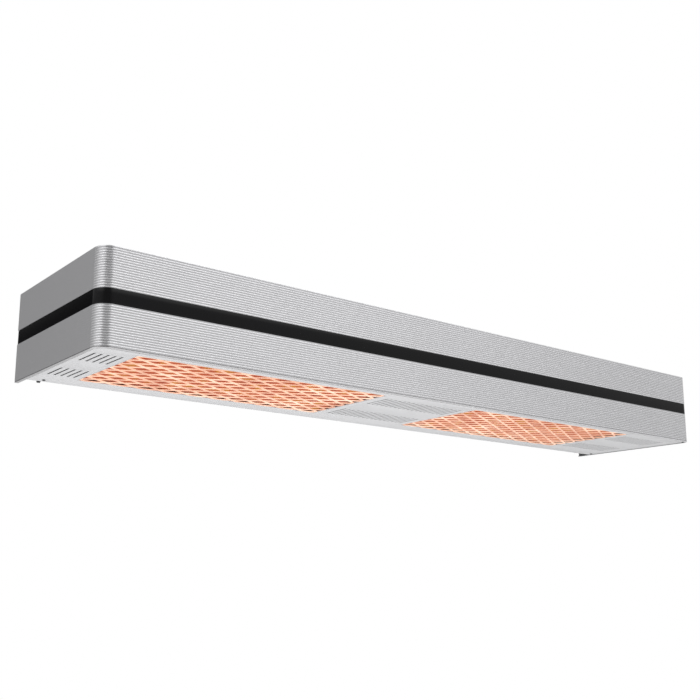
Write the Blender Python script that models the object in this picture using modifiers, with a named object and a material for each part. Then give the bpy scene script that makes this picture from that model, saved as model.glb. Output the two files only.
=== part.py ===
"""Overhead infrared bar heater: a fluted shroud round two windows of ceramic emitter tiles.

Metres, +Z up. The origin is the centre of the wall rail's back, on the wall. +X runs along the heater,
to the right as seen from the room, and the room is at -Y. Run with: blender --background --python part.py
"""

import math

import bmesh
import bpy
from mathutils import Matrix, Vector

# ---- Driving dimensions -------------------------------------------------------------------------------------
LENGTH = 1.216  # along X, over the shroud
DEPTH = 0.266  # from the wall to the shroud's front
HEIGHT = 0.126
CORNER_R = 0.0195  # the shroud's two front corners, outside
SHROUD_T = 0.0032
LINER_T = 0.0012
GAP = 0.0003  # between pieces that touch
SHEET = 0.0015  # painted steel sheet
RECESS = 0.0287  # from the wall to the rear panel's back
LOWER_H = 0.0539  # height of the lower fluted course
BAND_H = 0.0192
BAND_INSET = 0.0004  # the band lies this far behind the flutes
BAND_END_Y = -0.0010
COVER_DROP = 0.0025  # the top cover's underside, below the shroud's top edge

HALF_L = LENGTH / 2
HALF_H = HEIGHT / 2
FRONT = -DEPTH
INSIDE = SHROUD_T + GAP + LINER_T + GAP  # from the shroud's outside to what stands against its liner
REAR_Y = -RECESS - SHEET - GAP  # what stands against the rear panel's inside
UNDER_COVER = HALF_H - COVER_DROP - GAP

PANEL_LOW = -0.0560
TAB_LOW = -0.0603  # the rear panel's tab round the supply gland
TAB_HALF = 0.0085
VENT_SIZE = (0.0032, 0.0120)
VENT_Z = 0.0495
VENT_PITCH = 0.0120
VENT_GROUPS = (-0.40, -0.04, 0.32)  # first vent's centre
VENTS_IN_GROUP = 8
ANGLE_LEGS = (0.0220, 0.0200)  # a corner angle's legs, along X and Y
ANGLE_Z = (-0.0440, 0.0560)

FASCIA_Z = -HALF_H + 0.0005  # the fascia's underside
FASCIA_TOP = FASCIA_Z + SHEET
FASCIA_SIDE_GAP = 0.0005
FASCIA_FRONT_GAP = 0.0018
FLANGE_X = (-0.5700, 0.5550)
FLANGE_Y = -0.0340
FLANGE_H = 0.0110
WINDOW_SIZE = (0.4004, 0.1830)
WINDOW_CENTRES_X = (-0.34655, 0.23825)
WINDOW_CENTRE_Y = -0.1557
ZONES = ("left", "right")

SLOT_PITCH = 0.0090
SLOT_SIZE = (0.0026, 0.0490)
SLOT_ROWS_Y = (-0.2039, -0.1032)
SLOT_GROUPS = ((-0.5927, 5), (-0.1294, 18), (0.4548, 14))  # first slot's centre, number of slots

MESH_PITCH = (0.0403, 0.0235)  # long way, short way of one diamond
MESH_ROWS = 8
MESH_COLUMNS = 5  # on each side of the guard's middle
STRAND = 0.0034  # strand width across the strand
MESH_RIM = 0.0010
LEAST_OPENING = 4e-6  # square metres: smaller corners of a diamond are left closed
GUARD_GAP = 0.0004
FRAME_LAP_IN = 0.0020  # how far the guard frame reaches over the mesh
FRAME_LAP_OUT = 0.0080  # and over the fascia

CATCH_X = (-0.5700, -0.0530, 0.5700)
CATCH_NAMES = ("left", "middle", "right")
CATCH_W = 0.0160
CATCH_Z = (0.0062, 0.0200)  # above the fascia's underside
CATCH_DEPTH = 0.0100  # from the shroud's front to the clip's back
STRIKER_W = 0.0120
STRIKER_T = 0.0012
STRIKER_H = 0.0120
STRIKER_SET = 0.0070  # from the shroud's front
MOUTH_CLEAR = 0.0004  # round a striker
MOUTH_TOP = 0.0140

HINGE_X = (-0.5830, 0.5922)  # the fascia's two pivot ears
EAR_R = 0.0034
EAR_T = 0.0016
HINGE_Y = -RECESS + GAP + EAR_R
HINGE_Z = FASCIA_TOP + GAP
FOOT_LOW = FASCIA_TOP + GAP
FOOT_Y = (-0.0470, -0.0362)
FOOT_W = 0.0140
FOOT_T = 0.0020
EAR_REACH_Y = -0.0335  # where the ear's back slopes down to its foot
EAR_REACH_H = 0.0040
ARM_T = 0.0016
ARM_GAP = 0.0005  # from ear to arm
ARM_TOP_Z = -0.0180
WING_W = 0.0090
WING_T = 0.0017
WING_LOW_Z = -0.0440
PIN_R = 0.0016
PIN_STAND = 0.0006  # how far each end of the pin stands out
PIVOT_SCREW_Y = -0.0417
PIVOT_BORE_R = 0.0015
PIVOT_HEAD_R = 0.0021
PIVOT_HEAD_H = 0.0012
PIVOT_SHANK_TOP = FASCIA_Z + 0.0080

TILE_FACE_Z = FASCIA_Z + 0.0058
TILE_T = 0.0120
TILE_GRID = (3, 2)
TILE_GAP = 0.0010
TILE_EDGE = 0.0008
TILE_FIELD = (0.4104, 0.1930)  # all six tiles of a zone
TRAY_T = 0.0012
TRAY_CLEAR = 0.0010  # round the tiles
TRAY_LIP = 0.0010  # the tray's opening stands this far outside the window
TRAY_TOP_Z = -0.0290
BOARD_T = 0.0130
LEAD_HOLE_R = 0.0080

CROSS_RAIL_W = 0.0240
CROSS_RAIL_H = 0.0120
CROSS_RAIL_OFFSET = 0.1500  # from the window's centre
SHIELD_Z = TRAY_TOP_Z + GAP + CROSS_RAIL_H + GAP
SHIELD_T = 0.0010
SHIELD_HALF = 0.2050  # past the centres of the windows
SHIELD_EDGE_Y = 0.0080  # its upturned edges stand this far from the shroud's front and the rear panel
SHIELD_BEND_Y = 0.0260
SHIELD_RISE = 0.0100

BAFFLE_X = WINDOW_CENTRES_X[1] + TILE_FIELD[0] / 2 + 0.0062
BAFFLE_LOW = FASCIA_Z + 0.0065
BAFFLE_NOTCH = (-0.0400, 0.0060)  # over the fascia's rear flange: its front, its height
GROMMET_AT = (-0.0600, 0.0300)

TERMINAL_X = (0.4800, 0.5500)
TERMINAL_Z = (0.0020, 0.0280)
TERMINAL_DEPTH = 0.0200
TERMINAL_BORE_R = 0.0030
TERMINAL_PITCH = 0.0140
TERMINALS = 5
EARTH_AT = (0.5750, 0.0150)
EARTH_STUD_R = 0.0025
EARTH_STUD_L = 0.0180
EARTH_NUT_R = 0.0048
EARTH_NUT_Y = (0.0050, 0.0100)  # from the rear panel
CONTROLLER_X = (0.4720, 0.5620)
CONTROLLER_Y = (-0.2200, -0.1400)
CONTROLLER_H = 0.0300
SINK_INSET_X = 0.0020
SINK_BASE_T = 0.0040
SINK_H = 0.0180
FINS = 9
FIN_T = 0.0018
FIN_PITCH = 0.0097
CUTOUT_X = WINDOW_CENTRES_X[1] + 0.1700
CUTOUT_R = 0.0080
CUTOUT_H = 0.0090
CUTOUT_STRAP = (0.0400, 0.0100, 0.0016)

GLAND_X, GLAND_Z = 0.5790, -0.0530
GLAND_BORE_R = 0.0036
GLAND_THREAD_R = 0.0060
GLAND_FLANGE_R = 0.0092
GLAND_FLANGE_T = 0.0060
GLAND_NOSE_R = 0.0056
GLAND_OUT = 0.0190  # from the rear panel to the gland's outer end
GLAND_IN = 0.0100
LOCKNUT_R = 0.0074
LOCKNUT_T = 0.0050
SUPPLY_LEAD_R = 0.0030
ZONE_LEAD_R = 0.0020

RAIL_SIZE = (1.080, 0.0025, 0.076)  # the wall rail's plate
RAIL_SLOT = (0.0160, 0.0065)
RAIL_SLOTS_X = (-0.45, -0.15, 0.15, 0.45)
HOOK_REACH = 0.0100
HOOK_RISE = 0.0140
HANGER_HALF = 0.5200
HANGER_T = 0.0020
HANGER_FOOT = 0.0200  # height of the strip against the rear panel
TONGUE_H = 0.0100
TONGUE_SET = 0.0050  # from the wall to the tongue's back
PAD_X = (-0.4000, 0.4000)
PAD_W = 0.0300
PAD_Z = (-0.0340, -0.0140)

ARC_STEPS = 6

PAINTS = {
    "shroud": ((0.62, 0.62, 0.64), 0.35, 1.0),
    "band": ((0.01, 0.01, 0.012), 0.08, 0.0),
    "paint": ((0.78, 0.79, 0.80), 0.45, 0.0),
    "steel": ((0.55, 0.56, 0.57), 0.40, 1.0),
    "guard": ((0.80, 0.58, 0.45), 0.45, 1.0),
    "ceramic": ((0.90, 0.35, 0.16), 0.85, 0.0),
    "board": ((0.90, 0.88, 0.82), 0.95, 0.0),
    "plastic": ((0.05, 0.05, 0.05), 0.50, 0.0),
    "grey_plastic": ((0.55, 0.56, 0.56), 0.50, 0.0),
    "aluminium": ((0.75, 0.75, 0.76), 0.35, 1.0),
    "dark_steel": ((0.06, 0.06, 0.065), 0.40, 1.0),
    "brass": ((0.70, 0.52, 0.22), 0.35, 1.0),
    "rubber": ((0.03, 0.03, 0.03), 0.80, 0.0),
    "lead": ((0.70, 0.22, 0.10), 0.60, 0.0),
}

PLANES = {"XY": (0, 0, 0), "XZ": (math.pi / 2, 0, 0), "YZ": (math.pi / 2, 0, math.pi / 2)}


# ---- Scene and materials ------------------------------------------------------------------------------------
def new_collection(name):
    collection = bpy.data.collections.new(name)
    bpy.context.scene.collection.children.link(collection)
    return collection


def clear_scene():
    for obj in list(bpy.data.objects):
        bpy.data.objects.remove(obj, do_unlink=True)


def paint(obj, slot):
    """Gives the object its own Principled material."""
    colour, roughness, metallic = PAINTS[slot]
    material = bpy.data.materials.new(obj.name)
    material.use_nodes = True
    shader = material.node_tree.nodes["Principled BSDF"]
    shader.inputs["Base Color"].default_value = (*colour, 1)
    shader.inputs["Roughness"].default_value = roughness
    shader.inputs["Metallic"].default_value = metallic
    obj.data.materials.append(material)


clear_scene()
PARTS = new_collection("overhead_infrared_heater")
CUTTERS = new_collection("cutters")
CUTTERS.hide_render = True


def keep(obj, slot=None):
    """Puts a piece in the parts collection with its material, or a helper among the cutters."""
    if slot:
        PARTS.objects.link(obj)
        paint(obj, slot)
    else:
        CUTTERS.objects.link(obj)
        obj.hide_render = True
        obj.display_type = "WIRE"
    return obj


def from_bmesh(name, shape, slot):
    mesh = bpy.data.meshes.new(name)
    shape.to_mesh(mesh)
    shape.free()
    return keep(bpy.data.objects.new(name, mesh), slot)


# ---- Shapes -------------------------------------------------------------------------------------------------
def box(name, lo, hi, slot=None, bevel=0.0):
    lo, hi = Vector(lo), Vector(hi)
    shape = bmesh.new()
    bmesh.ops.create_cube(shape, size=1)
    bmesh.ops.transform(shape, matrix=Matrix.Diagonal((*(hi - lo), 1)), verts=shape.verts)
    obj = from_bmesh(name, shape, slot)
    obj.location = (lo + hi) / 2
    if bevel:
        edge = obj.modifiers.new("edge", "BEVEL")
        edge.width = bevel
        edge.segments = 1
    return obj


def rod(name, radius, start, end, slot=None, sides=16):
    """A round bar from start to end."""
    start, end = Vector(start), Vector(end)
    shape = bmesh.new()
    bmesh.ops.create_cone(
        shape,
        cap_ends=True,
        segments=sides,
        radius1=radius,
        radius2=radius,
        depth=(end - start).length,
    )
    obj = from_bmesh(name, shape, slot)
    obj.location = (start + end) / 2
    obj.rotation_mode = "QUATERNION"
    obj.rotation_quaternion = Vector((0, 0, 1)).rotation_difference(end - start)
    smooth(obj)
    return obj


def smooth(obj):
    obj.data.shade_smooth()
    obj.data.set_sharp_from_angle(angle=math.radians(35))


def slab(name, outlines, low, high, plane="XY", slot=None):
    """A flat plate in the plane, from low to high: the first outline is its edge, and any others are holes."""
    curve = bpy.data.curves.new(name, "CURVE")
    curve.dimensions = "2D"
    curve.fill_mode = "BOTH"
    curve.extrude = (high - low) / 2
    for outline in outlines:
        spline = curve.splines.new("POLY")
        spline.points.add(len(outline) - 1)
        for point, (u, v) in zip(spline.points, outline):
            point.co = (u, v, 0, 1)
        spline.use_cyclic_u = True
    guide = bpy.data.objects.new(name + "_outline", curve)
    CUTTERS.objects.link(guide)
    bpy.context.view_layer.update()
    mesh = bpy.data.meshes.new_from_object(guide.evaluated_get(bpy.context.evaluated_depsgraph_get()))
    bpy.data.objects.remove(guide)
    shape = bmesh.new()
    shape.from_mesh(mesh)
    bmesh.ops.remove_doubles(shape, verts=shape.verts, dist=1e-6)
    shape.to_mesh(mesh)
    shape.free()
    obj = keep(bpy.data.objects.new(name, mesh), slot)
    middle = (low + high) / 2
    obj.location = {"XY": (0, 0, middle), "XZ": (0, middle, 0), "YZ": (middle, 0, 0)}[plane]
    obj.rotation_euler = PLANES[plane]
    return obj


def rectangle(centre, size):
    (u, v), (w, h) = centre, size
    return [(u + a * w / 2, v + b * h / 2) for a, b in ((-1, -1), (1, -1), (1, 1), (-1, 1))]


def ring_points(centre, radius, sides=16):
    u, v = centre
    angles = (2 * math.pi * (k + 0.5) / sides for k in range(sides))
    return [(u + radius * math.cos(a), v + radius * math.sin(a)) for a in angles]


def arc(centre, radius, start, end, steps=ARC_STEPS):
    """Points on an arc in the XY plane, with the angles in degrees."""
    u, v = centre
    angles = (math.radians(start + (end - start) * k / steps) for k in range(steps + 1))
    return [(u + radius * math.cos(a), v + radius * math.sin(a)) for a in angles]


def shroud_path(inset, rear):
    """The U of the shroud in plan, from the left rear end round the front to the right rear end."""
    side = HALF_L - inset
    front = FRONT + inset
    radius = CORNER_R - inset
    left = arc((-side + radius, front + radius), radius, 180, 270)
    right = arc((side - radius, front + radius), radius, 270, 360)
    return [(-side, rear), *left, *right, (side, rear)]


def u_wall(name, inset, thickness, low, high, rear, slot):
    outline = shroud_path(inset, rear) + shroud_path(inset + thickness, rear)[::-1]
    return slab(name, [outline], low, high, "XY", slot)


def combine(obj, others, operation="UNION", solver="EXACT"):
    """Joins the others to the piece, or cuts them from it. A sheet with rows of holes needs MANIFOLD."""
    for number, other in enumerate(others):
        modifier = obj.modifiers.new(f"{operation.lower()}_{number}", "BOOLEAN")
        modifier.operation = operation
        modifier.object = other
        modifier.solver = solver


def turned(name, profile, centre, slot, sides=20):
    """A body turned about the Y axis. The profile is the closed section, as (radius, y) points."""
    shape = bmesh.new()
    points = [shape.verts.new((radius, 0, -along)) for radius, along in profile]
    for first, second in zip(points, points[1:] + points[:1]):
        shape.edges.new((first, second))
    obj = from_bmesh(name, shape, slot)
    turn = obj.modifiers.new("turn", "SCREW")
    turn.axis = "Z"
    turn.steps = sides
    turn.render_steps = sides
    turn.use_merge_vertices = True
    turn.merge_threshold = 1e-5
    obj.rotation_euler = (math.pi / 2, 0, 0)
    obj.location = centre
    return obj


def lead(name, points, radius):
    """An internal insulated wire along a smooth curve through the points."""
    curve = bpy.data.curves.new(name, "CURVE")
    curve.dimensions = "3D"
    curve.bevel_depth = radius
    curve.bevel_resolution = 1
    curve.use_fill_caps = True
    route = through(points, 6)
    spline = curve.splines.new("POLY")
    spline.points.add(len(route) - 1)
    for point, place in zip(spline.points, route):
        point.co = (*place, 1)
    keep(bpy.data.objects.new(name, curve), "lead")


def through(points, steps):
    """A Catmull-Rom curve through the points."""
    points = [Vector(p) for p in points]
    padded = [2 * points[0] - points[1], *points, 2 * points[-1] - points[-2]]
    route = []
    for a, b, c, d in zip(padded, padded[1:], padded[2:], padded[3:]):
        for k in range(steps):
            t = k / steps
            square = (2 * a - 5 * b + 4 * c - d) * t**2
            cube = (3 * b - a - 3 * c + d) * t**3
            route.append((2 * b + (c - a) * t + square + cube) / 2)
    return [*route, points[-1]]


# ---- Casing -------------------------------------------------------------------------------------------------
def make_shroud():
    band_low = -HALF_H + LOWER_H
    band_high = band_low + BAND_H
    u_wall("lower_shroud", 0, SHROUD_T, -HALF_H, band_low - GAP, 0, "shroud")
    u_wall("trim_band", BAND_INSET, SHROUD_T - BAND_INSET, band_low, band_high, BAND_END_Y, "band")
    u_wall("upper_shroud", 0, SHROUD_T, band_high + GAP, HALF_H, 0, "shroud")
    liner_low = FASCIA_Z + 0.0055
    u_wall("shroud_liner", SHROUD_T + GAP, LINER_T, liner_low, UNDER_COVER, REAR_Y, "steel")


def make_top_cover():
    path = shroud_path(SHROUD_T + GAP, -RECESS)
    low = HALF_H - COVER_DROP
    slab("top_cover", [path], low, low + SHEET, "XY", "paint")


def make_rear_panel():
    """The sheet behind the casing, with vents along its top and a tab round the supply gland."""
    side = HALF_L - SHROUD_T - 2 * GAP
    edge = [
        (-side, PANEL_LOW),
        (GLAND_X - TAB_HALF, PANEL_LOW),
        (GLAND_X - TAB_HALF, TAB_LOW),
        (GLAND_X + TAB_HALF, TAB_LOW),
        (GLAND_X + TAB_HALF, PANEL_LOW),
        (side, PANEL_LOW),
        (side, UNDER_COVER),
        (-side, UNDER_COVER),
    ]
    vents = [
        rectangle((first + k * VENT_PITCH, VENT_Z), VENT_SIZE)
        for first in VENT_GROUPS
        for k in range(VENTS_IN_GROUP)
    ]
    panel = slab("rear_panel", [edge, *vents], -RECESS - SHEET, -RECESS, "XZ", "paint")
    ring = ring_points((GLAND_X, GLAND_Z), GLAND_THREAD_R + GAP)
    hole = slab("gland_hole", [ring], -RECESS - 0.01, -RECESS + 0.01, "XZ")
    combine(panel, [hole], "DIFFERENCE", "MANIFOLD")


def make_corner_angles():
    inner = HALF_L - INSIDE
    leg_x, leg_y = ANGLE_LEGS
    for name, side in (("left", -1), ("right", 1)):
        outline = [
            (side * inner, REAR_Y),
            (side * (inner - leg_x), REAR_Y),
            (side * (inner - leg_x), REAR_Y - SHEET),
            (side * (inner - SHEET), REAR_Y - SHEET),
            (side * (inner - SHEET), REAR_Y - leg_y),
            (side * inner, REAR_Y - leg_y),
        ]
        slab(f"corner_angle_{name}", [outline], *ANGLE_Z, "XY", "steel")


# ---- Fascia, guards and hinge -------------------------------------------------------------------------------
def fascia_outline():
    inset = SHROUD_T + FASCIA_SIDE_GAP
    front = FRONT + SHROUD_T + FASCIA_FRONT_GAP
    side = HALF_L - inset
    radius = CORNER_R - inset
    left = arc((-side + radius, front + radius), radius, 180, 270)
    right = arc((side - radius, front + radius), radius, 270, 360)
    return [(-side, -RECESS), *left, *right, (side, -RECESS)]


def slot_rectangles():
    return [
        rectangle((first + k * SLOT_PITCH, row), SLOT_SIZE)
        for first, count in SLOT_GROUPS
        for k in range(count)
        for row in SLOT_ROWS_Y
    ]


def make_fascia():
    windows = [rectangle((x, WINDOW_CENTRE_Y), WINDOW_SIZE) for x in WINDOW_CENTRES_X]
    bores = [ring_points((x, PIVOT_SCREW_Y), PIVOT_BORE_R) for x in HINGE_X]
    outlines = [fascia_outline(), *windows, *bores, *slot_rectangles()]
    fascia = slab("fascia", outlines, FASCIA_Z, FASCIA_TOP, "XY", "paint")
    root = FASCIA_Z + SHEET / 2
    flange = box(
        "fascia_rear_flange",
        (FLANGE_X[0], FLANGE_Y, root),
        (FLANGE_X[1], FLANGE_Y + SHEET, FASCIA_Z + FLANGE_H),
    )
    near = FRONT + STRIKER_SET
    strikers = [
        box(
            f"fascia_striker_{name}",
            (x - STRIKER_W / 2, near, root),
            (x + STRIKER_W / 2, near + STRIKER_T, FASCIA_Z + STRIKER_H),
        )
        for name, x in zip(CATCH_NAMES, CATCH_X)
    ]
    combine(fascia, [flange, *strikers], solver="MANIFOLD")


def make_catches():
    """Spring clips on the liner that grip the fascia's three strikers."""
    low, high = (FASCIA_Z + z for z in CATCH_Z)
    for name, x in zip(CATCH_NAMES, CATCH_X):
        clip = box(
            f"catch_{name}",
            (x - CATCH_W / 2, FRONT + INSIDE, low),
            (x + CATCH_W / 2, FRONT + CATCH_DEPTH, high),
            "steel",
        )
        mouth = box(
            f"catch_{name}_mouth",
            (x - CATCH_W, FRONT + STRIKER_SET - MOUTH_CLEAR, low - SHEET),
            (x + CATCH_W, FRONT + STRIKER_SET + STRIKER_T + MOUTH_CLEAR, FASCIA_Z + MOUTH_TOP),
        )
        combine(clip, [mouth], "DIFFERENCE")


def diamond(centre, half_length, half_height):
    u, v = centre
    return [(u - half_length, v), (u, v - half_height), (u + half_length, v), (u, v + half_height)]


def clip_outline(points, low, high):
    """Cuts an outline to a rectangle, one side after another."""
    for axis in (0, 1):
        for limit, sign in ((low[axis], 1), (high[axis], -1)):
            clipped = []
            for first, second in zip(points, points[1:] + points[:1]):
                inside = sign * (first[axis] - limit) >= 0
                next_inside = sign * (second[axis] - limit) >= 0
                if inside:
                    clipped.append(first)
                if inside != next_inside:
                    share = (limit - first[axis]) / (second[axis] - first[axis])
                    clipped.append(tuple(a + share * (b - a) for a, b in zip(first, second)))
            points = clipped
    return points


def mesh_openings(centre_x):
    """The diamond openings of one guard, in rows set half a pitch apart, cut off at the guard's rim."""
    long_way, short_way = MESH_PITCH
    slope = short_way / long_way
    half_height = short_way / 2 - STRAND / 2 * math.sqrt(1 + slope**2)
    half_length = half_height / slope
    centre = (centre_x, WINDOW_CENTRE_Y)
    edge = GUARD_GAP + MESH_RIM
    low = [c - s / 2 + edge for c, s in zip(centre, WINDOW_SIZE)]
    high = [c + s / 2 - edge for c, s in zip(centre, WINDOW_SIZE)]
    found = []
    for row in range(2 * MESH_ROWS + 1):
        v = WINDOW_CENTRE_Y + (row - MESH_ROWS) * short_way / 2
        shift = (row % 2) * long_way / 2
        for column in range(-MESH_COLUMNS, MESH_COLUMNS + 1 - row % 2):
            opening = diamond((centre_x + column * long_way + shift, v), half_length, half_height)
            opening = clip_outline(opening, low, high)
            if len(opening) > 2 and area(opening) > LEAST_OPENING:
                found.append(opening)
    return found


def area(points):
    return abs(sum(a[0] * b[1] - b[0] * a[1] for a, b in zip(points, points[1:] + points[:1]))) / 2


def make_guards():
    for name, x in zip(ZONES, WINDOW_CENTRES_X):
        centre = (x, WINDOW_CENTRE_Y)
        size = [side - 2 * GUARD_GAP for side in WINDOW_SIZE]
        outlines = [rectangle(centre, size), *mesh_openings(x)]
        slab(f"guard_{name}", outlines, FASCIA_Z, FASCIA_TOP, "XY", "guard")
        outer = [side + 2 * FRAME_LAP_OUT for side in WINDOW_SIZE]
        inner = [side - 2 * FRAME_LAP_IN for side in WINDOW_SIZE]
        low = FASCIA_TOP + GAP
        outlines = [rectangle(centre, outer), rectangle(centre, inner)]
        slab(f"guard_frame_{name}", outlines, low, low + SHEET, "XY", "dark_steel")


def make_hinges():
    """At each rear corner: an ear on the fascia, its screw, a pin, and a bracket on the rear panel."""
    bore = ring_points((HINGE_Y, HINGE_Z), PIN_R + GAP)
    for name, x, outward in zip(ZONES, HINGE_X, (-1, 1)):
        ear = slab(
            f"pivot_bracket_{name}",
            [ear_outline(), bore],
            x - EAR_T / 2,
            x + EAR_T / 2,
            "YZ",
            "dark_steel",
        )
        foot = box(
            f"pivot_foot_{name}",
            (x - FOOT_W / 2, FOOT_Y[0], FOOT_LOW),
            (x + FOOT_W / 2, FOOT_Y[1], FOOT_LOW + FOOT_T),
        )
        screw_bore = rod(
            f"pivot_screw_bore_{name}",
            PIVOT_BORE_R,
            (x, PIVOT_SCREW_Y, FASCIA_Z),
            (x, PIVOT_SCREW_Y, PIVOT_SHANK_TOP + GAP),
        )
        combine(ear, [foot], solver="MANIFOLD")
        combine(ear, [screw_bore], "DIFFERENCE", "MANIFOLD")
        make_pivot_screw(name, x)
        near = x + outward * (EAR_T / 2 + ARM_GAP)
        far = near + outward * ARM_T
        arm = slab(f"hinge_bracket_{name}", [arm_outline(), bore], *sorted((near, far)), "YZ", "dark_steel")
        wing_x = sorted((near, near + outward * WING_W))
        wing_y = -RECESS + GAP
        wing = box(
            f"hinge_wing_{name}",
            (wing_x[0], wing_y, WING_LOW_Z),
            (wing_x[1], wing_y + WING_T, ARM_TOP_Z),
        )
        combine(arm, [wing])
        start = x - outward * (EAR_T / 2 + PIN_STAND)
        end = far + outward * PIN_STAND
        rod(f"pivot_pin_{name}", PIN_R, (start, HINGE_Y, HINGE_Z), (end, HINGE_Y, HINGE_Z), "steel")


def ear_outline():
    """The fascia's ear in the YZ plane: a foot on the fascia that reaches back to a round end at the pin."""
    return [
        (FOOT_Y[0], FOOT_LOW),
        *arc((HINGE_Y, HINGE_Z), EAR_R, 180, 450, 9),
        (EAR_REACH_Y, FOOT_LOW + EAR_REACH_H),
        (FOOT_Y[0], FOOT_LOW + FOOT_T),
    ]


def arm_outline():
    """The rear panel's hinge arm in the YZ plane."""
    return [
        (HINGE_Y - EAR_R, ARM_TOP_Z),
        *arc((HINGE_Y, HINGE_Z), EAR_R, 180, 360, 8),
        (HINGE_Y + EAR_R, ARM_TOP_Z),
    ]


def make_pivot_screw(name, x):
    """A pan-headed screw up through the fascia and the ear's foot."""
    low = FASCIA_Z - PIVOT_HEAD_H
    head = rod(
        f"pivot_screw_{name}",
        PIVOT_HEAD_R,
        (x, PIVOT_SCREW_Y, low),
        (x, PIVOT_SCREW_Y, FASCIA_Z - GAP),
        "dark_steel",
    )
    shank = rod(
        f"pivot_screw_shank_{name}",
        PIVOT_BORE_R - GAP,
        (x, PIVOT_SCREW_Y, low + GAP),
        (x, PIVOT_SCREW_Y, PIVOT_SHANK_TOP),
    )
    combine(head, [shank])


# ---- Emitters -----------------------------------------------------------------------------------------------
def make_emitters():
    for name, x in zip(ZONES, WINDOW_CENTRES_X):
        make_tiles(name, x)
        make_tray(name, x)
        top = TRAY_TOP_Z - TRAY_T - GAP
        size = [side - 2 * GAP for side in TILE_FIELD]
        low = [c - s / 2 for c, s in zip((x, WINDOW_CENTRE_Y), size)]
        high = [c + s / 2 for c, s in zip((x, WINDOW_CENTRE_Y), size)]
        box(f"insulation_board_{name}", (*low, top - BOARD_T), (*high, top), "board")


def make_tiles(name, centre_x):
    columns, rows = TILE_GRID
    width = (TILE_FIELD[0] - (columns - 1) * TILE_GAP) / columns
    depth = (TILE_FIELD[1] - (rows - 1) * TILE_GAP) / rows
    number = 0
    for row in range(rows):
        for column in range(columns):
            number += 1
            x = centre_x + (column - (columns - 1) / 2) * (width + TILE_GAP)
            y = WINDOW_CENTRE_Y + (row - (rows - 1) / 2) * (depth + TILE_GAP)
            box(
                f"emitter_tile_{name}_{number}",
                (x - width / 2, y - depth / 2, TILE_FACE_Z),
                (x + width / 2, y + depth / 2, TILE_FACE_Z + TILE_T),
                "ceramic",
                bevel=TILE_EDGE,
            )


def make_tray(name, x):
    """An upturned tray round the tiles, with a lip under their edges."""
    outer = [side + 2 * (TRAY_CLEAR + TRAY_T) for side in TILE_FIELD]
    inner = [side + 2 * TRAY_CLEAR for side in TILE_FIELD]
    opening = [side + 2 * TRAY_LIP for side in WINDOW_SIZE]
    centre = (x, WINDOW_CENTRE_Y)
    lip_low = TILE_FACE_Z - GAP - TRAY_T
    tray = slab(f"emitter_tray_{name}", [rectangle(centre, outer)], lip_low, TRAY_TOP_Z, "XY", "steel")
    hollow = slab(f"tray_hollow_{name}", [rectangle(centre, inner)], lip_low + TRAY_T, TRAY_TOP_Z - TRAY_T)
    mouth = slab(f"tray_mouth_{name}", [rectangle(centre, opening)], lip_low - TRAY_T, lip_low + 2 * TRAY_T)
    combine(tray, [hollow, mouth, lead_hole(f"tray_lead_hole_{name}", x, TRAY_TOP_Z)], "DIFFERENCE")


def lead_hole(name, x, z):
    """The cutter of a zone lead's hole, over the middle of its window."""
    reach = 0.0050
    return rod(name, LEAD_HOLE_R, (x, WINDOW_CENTRE_Y, z - reach), (x, WINDOW_CENTRE_Y, z + reach))


def make_cross_rails():
    """Folded rails from the liner to the rear panel: they carry the trays, with the heat shield on top."""
    half = CROSS_RAIL_W / 2
    low = TRAY_TOP_Z + GAP
    high = low + CROSS_RAIL_H
    places = [x + side * CROSS_RAIL_OFFSET for x in WINDOW_CENTRES_X for side in (-1, 1)]
    for number, u in enumerate(places, 1):
        section = [
            (u - half, low),
            (u + half, low),
            (u + half, high),
            (u + half - SHEET, high),
            (u + half - SHEET, low + SHEET),
            (u - half + SHEET, low + SHEET),
            (u - half + SHEET, high),
            (u - half, high),
        ]
        slab(f"cross_rail_{number}", [section], FRONT + INSIDE, REAR_Y, "XZ", "steel")


def make_heat_shield():
    """A sheet over the trays with its front and rear edges turned up, and a hole for each zone's lead."""
    front, back = FRONT, -RECESS
    high = SHIELD_Z + SHIELD_RISE
    section = [
        (front + SHIELD_EDGE_Y, high),
        (front + SHIELD_BEND_Y, SHIELD_Z),
        (back - SHIELD_BEND_Y, SHIELD_Z),
        (back - SHIELD_EDGE_Y, high),
        (back - SHIELD_EDGE_Y, high + SHIELD_T),
        (back - SHIELD_BEND_Y, SHIELD_Z + SHIELD_T),
        (front + SHIELD_BEND_Y, SHIELD_Z + SHIELD_T),
        (front + SHIELD_EDGE_Y, high + SHIELD_T),
    ]
    left, right = WINDOW_CENTRES_X[0] - SHIELD_HALF, WINDOW_CENTRES_X[1] + SHIELD_HALF
    shield = slab("heat_shield", [section], left, right, "YZ", "aluminium")
    holes = [lead_hole(f"shield_hole_{name}", x, SHIELD_Z) for name, x in zip(ZONES, WINDOW_CENTRES_X)]
    combine(shield, holes, "DIFFERENCE")


def make_baffle():
    """The wall between the hot zones and the terminal compartment at the right end."""
    notch_y, notch_h = BAFFLE_NOTCH
    edge = [
        (FRONT + INSIDE, BAFFLE_LOW),
        (notch_y, BAFFLE_LOW),
        (notch_y, BAFFLE_LOW + notch_h),
        (REAR_Y, BAFFLE_LOW + notch_h),
        (REAR_Y, UNDER_COVER),
        (FRONT + INSIDE, UNDER_COVER),
    ]
    grommet = ring_points(GROMMET_AT, LEAD_HOLE_R)
    slab("terminal_baffle", [edge, grommet], BAFFLE_X, BAFFLE_X + LINER_T, "YZ", "steel")


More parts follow.
